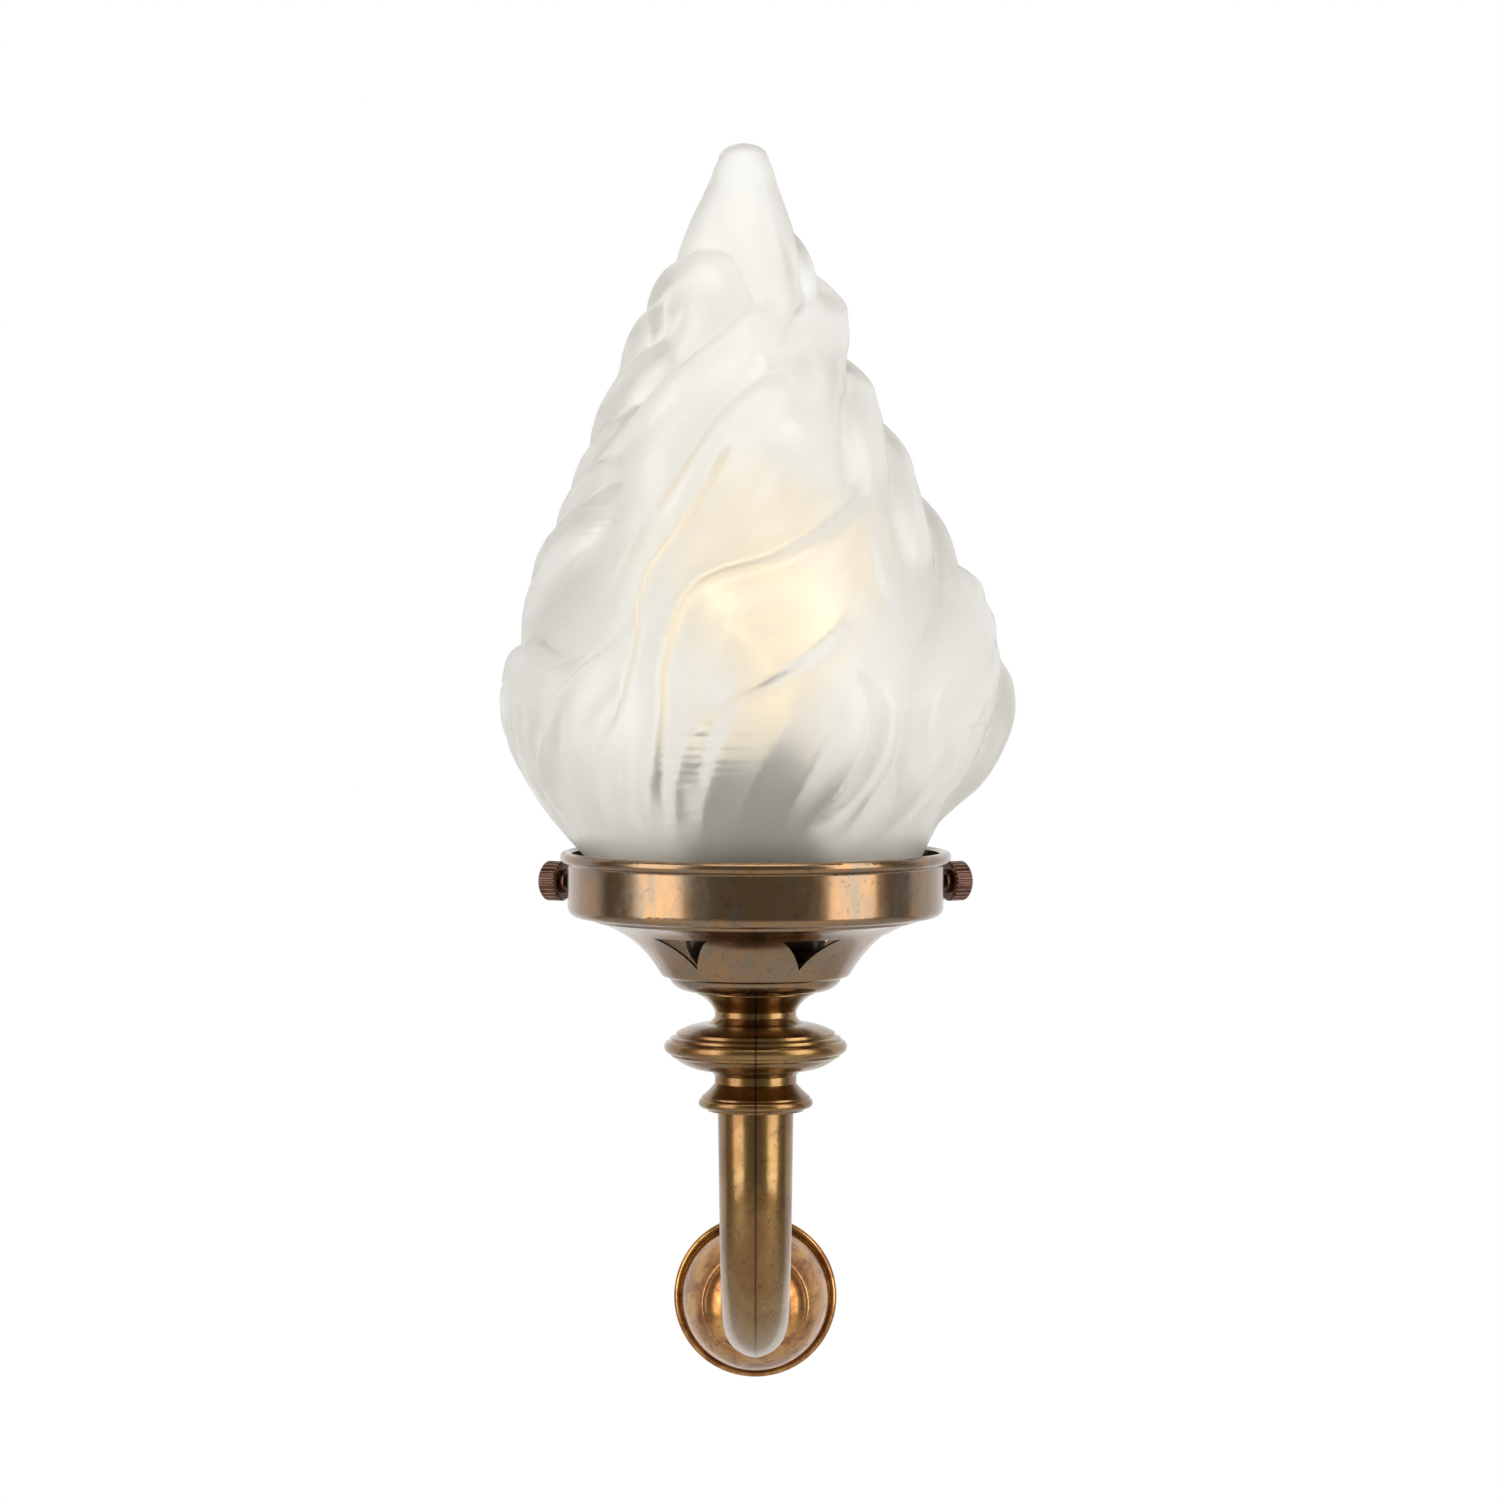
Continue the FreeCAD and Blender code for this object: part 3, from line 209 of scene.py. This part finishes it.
for label, finish in FINISHES.items():
    dress(label, finish)
print("plain finishes", len(FINISHES))

# %% [markdown]
# The lamp is lit. Its filament glows, and the pearl glass around it passes most of that light and
# glows a little itself. The colour is that of a warm incandescent lamp, about 2700 K.

# %% Lamp
WARM = "#FFD9A0"
pearl_glass, pearl_tree, pearl = new_material("pearl_lamp_glass")
pearl_coords = add(pearl_tree, "ShaderNodeTexCoord").outputs["Object"]
pearl_noise = add(pearl_tree, "ShaderNodeTexNoise", {"Scale": 1 / (4 * MM), "Detail": 3.0},
                  {"Vector": pearl_coords})
pearl_rough = add(pearl_tree, "ShaderNodeMapRange", {"To Min": 0.06, "To Max": 0.14},
                  {"Value": pearl_noise.outputs["Fac"]})
pearl_tree.links.new(pearl_rough.outputs["Result"], pearl.inputs["Roughness"])
pearl.inputs["Base Color"].default_value = linear("#FBF7EC")
pearl.inputs["Transmission Weight"].default_value = 1.0
pearl.inputs["IOR"].default_value = 1.5
pearl.inputs["Emission Color"].default_value = linear(WARM)
pearl.inputs["Emission Strength"].default_value = 0.05
dress("lamp_glass", pearl_glass)
dress("lamp_stem", pearl_glass)

tungsten, tungsten_tree, glow = new_material("glowing_tungsten")
tungsten_coords = add(tungsten_tree, "ShaderNodeTexCoord").outputs["Object"]
tungsten_noise = add(tungsten_tree, "ShaderNodeTexNoise", {"Scale": 1 / (1 * MM)},
                     {"Vector": tungsten_coords})
tungsten_tree.links.new(tungsten_noise.outputs["Color"], glow.inputs["Base Color"])
glow.inputs["Emission Color"].default_value = linear(WARM)
glow.inputs["Emission Strength"].default_value = 4.0
dress("lamp_filament", tungsten)

# %% [markdown]
# Acid takes the shine off the glass outside, so it passes light but scatters it. Principled
# transmission with a high roughness does that, and the share that is left over is a pale diffuse
# skin. Glass has an IOR near 1.5, and 1.45 gives the pale edges of the real one. A trace of warm
# emission is the lamp's light that the frost spreads through the whole wall.

# %% Frosted glass
frosted, frosted_tree, frost = new_material("acid_frosted_glass")
frost_coords = add(frosted_tree, "ShaderNodeTexCoord").outputs["Object"]
frost_noise = add(frosted_tree, "ShaderNodeTexNoise",
                  {"Scale": 1 / (18 * MM), "Detail": 4.0}, {"Vector": frost_coords})
frost_rough = add(frosted_tree, "ShaderNodeMapRange", {"To Min": 0.30, "To Max": 0.38},
                  {"Value": frost_noise.outputs["Fac"]})
frosted_tree.links.new(frost_rough.outputs["Result"], frost.inputs["Roughness"])
frost_grit = add(frosted_tree, "ShaderNodeTexNoise", {"Scale": 1 / (0.5 * MM), "Detail": 2.0},
                 {"Vector": frost_coords})
frost_bump = add(frosted_tree, "ShaderNodeBump", {"Strength": 0.05, "Distance": 0.05 * MM},
                 {"Height": frost_grit.outputs["Fac"]})
frosted_tree.links.new(frost_bump.outputs["Normal"], frost.inputs["Normal"])
frost.inputs["Base Color"].default_value = linear("#F8F7F3")
frost.inputs["Transmission Weight"].default_value = 0.88
frost.inputs["IOR"].default_value = 1.45
frost.inputs["Emission Color"].default_value = linear("#FFF3E2")
frost.inputs["Emission Strength"].default_value = 0.03
print("frosted glass", frosted.name)

# %% [markdown]
# The flame is blown into a mould, so its wall is one smooth bulb, and every tongue is a fold of that
# wall: it lifts quickly along one winding edge and sinks back slowly behind it, as a wave does. It
# could be sculpted by hand. Here each edge is a curve through a few places on the bulb, given as a
# turn round it (0 faces the room, positive to the right) and a height, because a curve is easy to
# move until it lies where the glass has it.

# %% The bulb under the folds
# Foot and height of the bulb and the half width that its table is a share of, in mm. The table's
# columns are the share of the height, the radius and the lean to the right.
FOOT, HEIGHT, WIDE = 136.7, 205.5, 74.0
BULB = np.array([
    (0.000, 0.6216, 0.000), (0.065, 0.745, -0.035), (0.152, 0.895, -0.022), (0.240, 0.926, 0.000),
    (0.332, 0.845, 0.000), (0.454, 0.703, -0.020), (0.576, 0.554, -0.040), (0.697, 0.399, -0.061),
    (0.809, 0.276, -0.061), (0.902, 0.180, -0.057), (0.941, 0.134, -0.050),
    (0.975, 0.098, -0.046), (1.0, 0.05, -0.046),
])


def eased(x, xs, ys):
    """A smooth curve through a few points, with no corner at any of them."""
    xs, ys = np.asarray(xs, float), np.asarray(ys, float)
    slopes = np.gradient(ys, xs)
    left = np.clip(np.searchsorted(xs, x) - 1, 0, len(xs) - 2)
    step = xs[left + 1] - xs[left]
    t = np.clip((x - xs[left]) / step, 0, 1)
    start = (1 + 2 * t) * (1 - t) ** 2 * ys[left] + t * (1 - t) ** 2 * step * slopes[left]
    end = t * t * (3 - 2 * t) * ys[left + 1] + t * t * (t - 1) * step * slopes[left + 1]
    return start + end


def bulb_at(height):
    """Radius and sideways place of the bulb at heights in mm."""
    share = (height - FOOT) / HEIGHT
    return eased(share, BULB[:, 0], BULB[:, 1]) * WIDE, eased(share, BULB[:, 0], BULB[:, 2]) * WIDE


def smooth(value):
    """Ease from 0 to 1 as the value goes from 0 to 1."""
    value = np.clip(value, 0, 1)
    return value * value * (3 - 2 * value)


print("bulb radius at the belly (mm)", round(float(bulb_at(np.array([186.0]))[0][0]), 1))

# %% The folds
# Each fold: how far it lifts (mm), how far back it reaches (mm), and its edge from root to tip.
FRONT_FOLDS = [
    (6.5, 34, [(-25, 144), (-22, 171), (-21.5, 186), (-22, 198), (-19, 214), (-11, 221.5), (5, 226),
               (14, 230), (25, 234.5), (38, 241), (50, 250)]),
    (4.6, 24, [(-40, 168), (-33, 184), (-31, 203), (-32.5, 213), (-30, 224), (-24, 233), (-17, 242),
               (-12, 250), (-6, 260), (4, 272)]),
    (7.2, 44, [(44, 143), (45, 156), (38.5, 168), (36.5, 176), (38, 187), (43, 195), (52, 206),
               (70, 216), (90, 222), (112, 227), (130, 236)]),
    (2.6, 16, [(15, 145), (25, 160), (29, 172), (29, 181), (27, 189), (23, 197)]),
    (1.5, 14, [(-12, 150), (-12.5, 168), (-11, 178), (-6, 186), (4, 193), (14, 200), (24, 210),
               (31, 222)]),
    (4.0, 18, [(-66, 145), (-63, 160), (-58, 172), (-54, 184), (-47, 194), (-38, 202), (-30, 214)]),
    (3.2, 30, [(-66, 246), (-56, 262), (-44, 273), (-30, 280), (-14, 287), (4, 294), (24, 300)]),
    (2.6, 24, [(-34, 236), (-24, 250), (-14, 262), (0, 271), (16, 276), (34, 279)]),
]
LEFT_FOLDS = [
    (3.2, 30, [(-128, 286), (-106, 297), (-88, 305), (-62, 309), (-34, 311), (-8, 309), (7, 299),
               (20, 288)]),
    (4.8, 26, [(-140, 262), (-115, 280), (-90, 290.5), (-66, 297), (-44, 300)]),
    (5.0, 22, [(-144, 234), (-116, 256), (-90, 270), (-68, 281), (-46, 290)]),
    (4.6, 20, [(-142, 222), (-115, 240), (-90, 253), (-68, 263), (-48, 272)]),
    (4.8, 20, [(-140, 206), (-115, 228), (-90, 242), (-70, 251), (-52, 260)]),
    (6.4, 36, [(-138, 190), (-114, 212), (-90, 228), (-68, 239), (-48, 250)]),
    (4.6, 34, [(-134, 158), (-112, 182), (-90, 198.5), (-72, 201), (-56, 197), (-44, 200)]),
]
RIGHT_FOLDS = [
    (1.8, 16, [(48, 292), (66, 305), (90, 313), (118, 320)]),
    (7.0, 24, [(14, 276), (30, 287), (50, 295), (90, 300), (116, 306), (140, 316)]),
    (4.8, 22, [(37, 236), (42, 252), (52, 266), (70, 274), (90, 277.5), (114, 284), (138, 296)]),
    (4.6, 22, [(48, 214), (54, 234), (66, 249), (90, 259), (114, 268), (138, 282)]),
    (4.8, 24, [(58, 198), (62, 214), (72, 227), (90, 237.5), (114, 248), (138, 262)]),
    (5.0, 26, [(74, 144), (72, 158), (76, 172), (84, 184), (98, 196), (116, 208), (136, 222)]),
]
BACK_FOLDS = [
    (6.2, 34, [(152, 144), (155, 176), (158, 202), (166, 216), (182, 226), (202, 234), (222, 248)]),
    (4.8, 26, [(138, 176), (146, 204), (150, 226), (160, 244), (176, 262), (192, 278)]),
    (5.0, 28, [(206, 143), (212, 160), (208, 176), (212, 192), (224, 208), (244, 222)]),
    (4.2, 22, [(178, 146), (184, 164), (188, 182), (198, 198), (214, 214), (226, 232)]),
    (4.4, 20, [(122, 145), (122, 162), (128, 178), (138, 194), (148, 212)]),
    (4.6, 26, [(142, 262), (154, 282), (170, 296), (192, 304), (216, 308)]),
    (4.0, 22, [(196, 252), (206, 268), (222, 282), (244, 292)]),
]
FOLDS = FRONT_FOLDS + LEFT_FOLDS + RIGHT_FOLDS + BACK_FOLDS
# Fine lines pressed between the folds: depth and half width (mm), and the places they run through.
CREASES = [
    (1.1, 1.8, [(-12, 194), (-8.6, 205), (-4, 212), (4, 223)]),
    (0.4, 3.6, [(-4, 186), (6, 194), (16, 200), (25, 210), (33, 222), (38, 236)]),
    (1.3, 2.4, [(-17, 162), (-16, 172), (-13, 180), (-8, 185)]),
    (1.2, 2.6, [(-52, 160), (-50, 176), (-47, 192)]),
    (1.0, 2.4, [(-72, 156), (-70, 172), (-64, 186)]),
    (1.2, 2.2, [(40, 208), (36, 220), (38, 234)]),
    (1.0, 2.6, [(-44, 206), (-42, 222), (-36, 238)]),
    (1.2, 3.0, [(0, 292), (10, 284), (18, 270)]),
]
print("folds", len(FOLDS), "creases", len(CREASES))

# %% How a fold lifts the wall
# A curve is followed in SAMPLES steps. A fold reaches its crest LIFT_WIDTH mm behind its edge, with
# faint ripples RIPPLE mm apart behind it and a dip DIP_WIDTH mm wide before it. RIBS pairs of ribs
# go round the neck.
SAMPLES = 90
LIFT_WIDTH, RIPPLE, DIP_WIDTH, DIP_DEPTH = 4.2, 11, 3.0, 0.9
RIBS, RIB_DEPTH = 17, 1.5


def distance_to(curve, turn, height, radius):
    """Signed distance to a curve in mm, positive on its right, and the way along it from 0 to 1."""
    places = np.array(curve, float)
    steps = np.linspace(0, len(places) - 1, SAMPLES)
    along_turn = eased(steps, np.arange(len(places)), places[:, 0])
    along_height = eased(steps, np.arange(len(places)), places[:, 1])
    middle = along_turn.mean()
    across = np.radians(along_turn - middle) * bulb_at(along_height)[0]
    ahead = np.stack([np.gradient(across), np.gradient(along_height)])
    ahead /= np.hypot(*ahead)
    here = np.radians((turn - middle + 180) % 360 - 180) * radius
    off_x = here[:, None] - across[None, :]
    off_z = height[:, None] - along_height[None, :]
    nearest = np.argmin(off_x ** 2 + off_z ** 2, axis=1)
    rows = np.arange(len(here))
    dx, dz = off_x[rows, nearest], off_z[rows, nearest]
    tx, tz = ahead[0][nearest], ahead[1][nearest]
    side = dx * tz - dz * tx
    past = np.where((nearest == 0) | (nearest == SAMPLES - 1), dx * tx + dz * tz, 0.0)
    return np.sign(side) * np.hypot(side, past), nearest / (SAMPLES - 1)


def fold_lift(fold, turn, height, radius):
    """Lift of one fold: a quick rise from its edge, a slow fall behind it, and a dip before it."""
    rise, reach, curve = fold
    gap, way = distance_to(curve, turn, height, radius)
    taper = smooth(way / 0.22) * smooth((1 - way) / 0.26)
    crest = np.sqrt(np.clip(1 - (1 - np.clip(gap / LIFT_WIDTH, 0, 1)) ** 2, 0, 1))
    fall = 0.5 + 0.5 * np.cos(np.pi * np.clip((gap - LIFT_WIDTH) / (reach - LIFT_WIDTH), 0, 1))
    echo = 0.5 * np.sin(gap * 2 * np.pi / RIPPLE) * np.clip(1 - gap / reach, 0, 1) * (gap > 0)
    dip = np.where(gap < 0, np.exp(-(gap / DIP_WIDTH) ** 2), 0.0)
    return taper * (rise * crest * fall + echo), taper * dip * DIP_DEPTH


def flutes(turn, height):
    """Upright ribs that gather the glass into its neck."""
    wander = 1.3 * np.sin(np.radians(3 * turn + 40)) + 0.9 * np.sin(np.radians(5 * turn + 170))
    phase = np.radians(RIBS * (turn - 0.25 * (height - 165))) + wander
    depth = smooth((height - 144) / 18) * smooth((200 - height) / 44)
    return RIB_DEPTH * depth * (np.abs(np.cos(phase)) ** 0.75 - 0.6)


def lift_all(turn, height, radius):
    """All folds, creases and ribs together, in mm."""
    top = np.zeros(len(turn))
    dips = np.zeros(len(turn))
    for fold in FOLDS:
        places = np.array(fold[2], float)
        near = (height > places[:, 1].min() - fold[1]) & (height < places[:, 1].max() + 12)
        lift, dip = fold_lift(fold, turn[near], height[near], radius[near])
        top[near] = np.maximum(top[near], lift)
        dips[near] = np.maximum(dips[near], dip)
    for depth, width, curve in CREASES:
        places = np.array(curve, float)
        near = (height > places[:, 1].min() - 10) & (height < places[:, 1].max() + 10)
        gap, way = distance_to(curve, turn[near], height[near], radius[near])
        taper = smooth(way / 0.3) * smooth((1 - way) / 0.3)
        dips[near] = dips[near] + depth * taper * np.exp(-(gap / width) ** 2)
    return top - dips + flutes(turn, height)


# %% [markdown]
# The glass starts as half of its outline, a chain of vertices that the spin operator turns round the
# column. Then every vertex of the outer skin moves out by the lift at its place, so the folds can
# be moved without touching the outline.

# %% Spin the glass and lift its folds
WALL = 3.6
TURNS = 288
ROWS_OUT, ROWS_IN = 264, 40
INNER_TOP, INNER_BEND = 328.0, 270.0
CAP_FROM, CAP_DROP = 0.975, 0.25
# Radius and height (mm) round the fitter: inside the neck, round the lip, and up outside the neck.
FITTER = [(42.4, 132.0), (42.4, 124.2), (43.1, 123.5), (49.7, 123.5), (50.4, 124.2),
          (50.4, 127.0), (49.7, 127.7), (46.8, 127.7), (46.0, 128.5), (46.0, 132.0)]


def glass_outline():
    """Half outline of the glass in mm: inner tip, inner wall, rim of the fitter, outer wall, tip."""
    points = [(0.0, INNER_TOP)]
    for height in np.linspace(INNER_TOP - 0.8, FOOT, ROWS_IN):
        over = max(height - INNER_BEND, 0) / (INNER_TOP - INNER_BEND)
        inner = float(bulb_at(np.array([height]))[0][0]) - WALL
        points.append((inner * math.sqrt(1 - over ** 2.6), height))
    points += FITTER
    for height in np.linspace(FOOT, FOOT + HEIGHT * CAP_FROM, ROWS_OUT):
        points.append((float(bulb_at(np.array([height]))[0][0]), height))
    edge, top = points[-1], FOOT + HEIGHT - CAP_DROP
    for angle in (16, 32, 46, 58, 68, 77, 84):
        turn = math.radians(angle)
        points.append((edge[0] * math.cos(turn), edge[1] + (top - edge[1]) * math.sin(turn)))
    points.append((0.0, top))
    return points


def spin_outline(points, steps):
    """A bmesh turned from a half outline of (radius, height) in mm."""
    solid = bmesh.new()
    chain = [solid.verts.new((across * MM, 0, up * MM)) for across, up in points]
    edges = [solid.edges.new(pair) for pair in zip(chain, chain[1:])]
    bmesh.ops.spin(solid, geom=chain + edges, cent=(0, 0, 0), axis=(0, 0, 1), dvec=(0, 0, 0),
                   angle=math.tau, steps=steps, use_merge=True, use_duplicate=False)
    bmesh.ops.remove_doubles(solid, verts=solid.verts, dist=0.001 * MM)
    bmesh.ops.recalc_face_normals(solid, faces=solid.faces)
    return solid


def as_piece(name, solid, material):
    """A Blender object from a bmesh, with its finish."""
    mesh = bpy.data.meshes.new(name)
    solid.to_mesh(mesh)
    solid.free()
    mesh.materials.append(material)
    for polygon in mesh.polygons:
        polygon.use_smooth = True
    piece = bpy.data.objects.new(name, mesh)
    bpy.context.collection.objects.link(piece)
    return piece


def lift_skin(mesh):
    """Move the outer skin of the spun glass out along its folds, and lean the bulb."""
    count = len(mesh.vertices)
    place = np.empty(count * 3)
    mesh.vertices.foreach_get("co", place)
    place = place.reshape(-1, 3) / MM
    turn = np.degrees(np.arctan2(place[:, 0], -place[:, 1]))
    flat, height = np.hypot(place[:, 0], place[:, 1]), place[:, 2]
    radius, lean = bulb_at(np.clip(height, FOOT, FOOT + HEIGHT))
    skin = (height > FOOT) & (flat > radius - WALL * 0.5)
    lift = np.zeros(count)
    lift[skin] = lift_all(turn[skin], height[skin], radius[skin])
    lift *= smooth((height - 139) / 8) * smooth((333 - height) / 12)
    angle = np.radians(turn)
    flat = flat + lift
    lean = np.where(height > FOOT, lean, 0.0)
    place[:, 0] = flat * np.sin(angle) + lean
    place[:, 1] = -flat * np.cos(angle)
    mesh.vertices.foreach_set("co", (place * MM + np.array(COLUMN)).ravel())
    mesh.update()


flame_solid = spin_outline(glass_outline(), TURNS)
flame = as_piece("flame_glass", flame_solid, frosted)
lift_skin(flame.data)
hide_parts("flame_shade")
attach(flame, "shade")
print("flame triangles", sum(len(p.vertices) - 2 for p in flame.data.polygons))

# %% [markdown]
# The studio is a white sweep behind the lamp, a pale floor below it, two large soft boxes at the
# sides and a dim room in front. Round metal then shows pale sides and a dark middle.

# %% Stage and light


def card(name, corners, material):
    """One flat sheet of the studio."""
    sheet = bmesh.new()
    sheet.faces.new([sheet.verts.new(corner) for corner in corners])
    mesh = bpy.data.meshes.new(name)
    sheet.to_mesh(mesh)
    sheet.free()
    mesh.materials.append(material)
    piece = bpy.data.objects.new(name, mesh)
    bpy.context.collection.objects.link(piece)
    return piece


paper = bpy.data.materials.new("white_paper_sweep")
paper.use_nodes = True
paper_tree = paper.node_tree
paper_tree.nodes.clear()
paper_out = add(paper_tree, "ShaderNodeOutputMaterial")
rays = add(paper_tree, "ShaderNodeLightPath")
seen = add(paper_tree, "ShaderNodeMath", {"operation": "MAXIMUM"},
           {0: rays.outputs["Is Camera Ray"], 1: rays.outputs["Is Glossy Ray"]})
seen_all = add(paper_tree, "ShaderNodeMath", {"operation": "MAXIMUM"},
               {0: seen.outputs[0], 1: rays.outputs["Is Transmission Ray"]})
pale = add(paper_tree, "ShaderNodeBsdfDiffuse", {"Color": linear("#F2F2F0")})
white = add(paper_tree, "ShaderNodeEmission", {"Color": (1, 1, 1, 1), "Strength": 1.0})
either = add(paper_tree, "ShaderNodeMixShader", None,
             {0: seen_all.outputs[0], 1: pale.outputs[0], 2: white.outputs[0]})
paper_tree.links.new(either.outputs[0], paper_out.inputs["Surface"])

floor_paint, floor_tree, floor_shader = new_material("pale_floor_paint")
floor_shader.inputs["Base Color"].default_value = linear("#ECECEA")
floor_shader.inputs["Roughness"].default_value = 0.8

SIDE, FRONT, BACK, FLOOR, TOP = 3, -3.4, 0.9, -0.62, 2.6
card("backdrop", [(-SIDE, BACK, FLOOR), (SIDE, BACK, FLOOR), (SIDE, BACK, TOP), (-SIDE, BACK, TOP)],
     paper)
card("floor", [(-SIDE, FRONT, FLOOR), (SIDE, FRONT, FLOOR), (SIDE, BACK, FLOOR), (-SIDE, BACK, FLOOR)],
     floor_paint)


def soft_box(name, place, target, wide, high, watts):
    """A rectangular area light aimed at a point."""
    lamp = bpy.data.lights.new(name, "AREA")
    lamp.shape = "RECTANGLE"
    lamp.size, lamp.size_y, lamp.energy = wide, high, watts
    piece = bpy.data.objects.new(name, lamp)
    piece.location = place
    piece.rotation_euler = (Vector(target) - Vector(place)).to_track_quat("-Z", "Y").to_euler()
    bpy.context.collection.objects.link(piece)
    return piece


MIDDLE = (0, -0.1, 0.15)
soft_box("soft_box_left", (-1.15, -0.75, 0.35), MIDDLE, 0.8, 1.6, 14)
soft_box("soft_box_right", (1.15, -0.75, 0.35), MIDDLE, 0.8, 1.6, 14)
soft_box("soft_box_top", (0, -0.9, 1.5), MIDDLE, 1.4, 0.8, 10)

world = bpy.data.worlds.new("studio_air")
bpy.context.scene.world = world
world.use_nodes = True
world_tree = world.node_tree
world_tree.nodes.clear()
world_out = add(world_tree, "ShaderNodeOutputWorld")
world_rays = add(world_tree, "ShaderNodeLightPath")
through = add(world_tree, "ShaderNodeMath", {"operation": "MAXIMUM"},
              {0: world_rays.outputs["Is Camera Ray"], 1: world_rays.outputs["Is Transmission Ray"]})
air = add(world_tree, "ShaderNodeBackground", {"Color": (1, 1, 1, 1), "Strength": 0.24})
white_air = add(world_tree, "ShaderNodeBackground", {"Color": (1, 1, 1, 1), "Strength": 1.0})
air_mix = add(world_tree, "ShaderNodeMixShader", None,
              {0: through.outputs[0], 1: air.outputs[0], 2: white_air.outputs[0]})
world_tree.links.new(air_mix.outputs[0], world_out.inputs["Surface"])

# %% [markdown]
# The photograph was taken from about two metres with a long lens, a little above the middle of the
# lamp, so the rose behind the arm looks nearly as large as it is.

# %% Camera
camera = bpy.data.cameras.new("camera")
camera.sensor_width = 36.0
camera.lens = 159.6
camera.clip_end = 20
eye = bpy.data.objects.new("camera", camera)
EYE_PLACE = (-0.0016, -2.0, 0.254)
PITCH_DOWN = 2.55
eye.location = EYE_PLACE
eye.rotation_euler = (math.radians(90 - PITCH_DOWN), 0, 0)
bpy.context.collection.objects.link(eye)
bpy.context.scene.camera = eye
bpy.context.scene.view_settings.view_transform = "Standard"
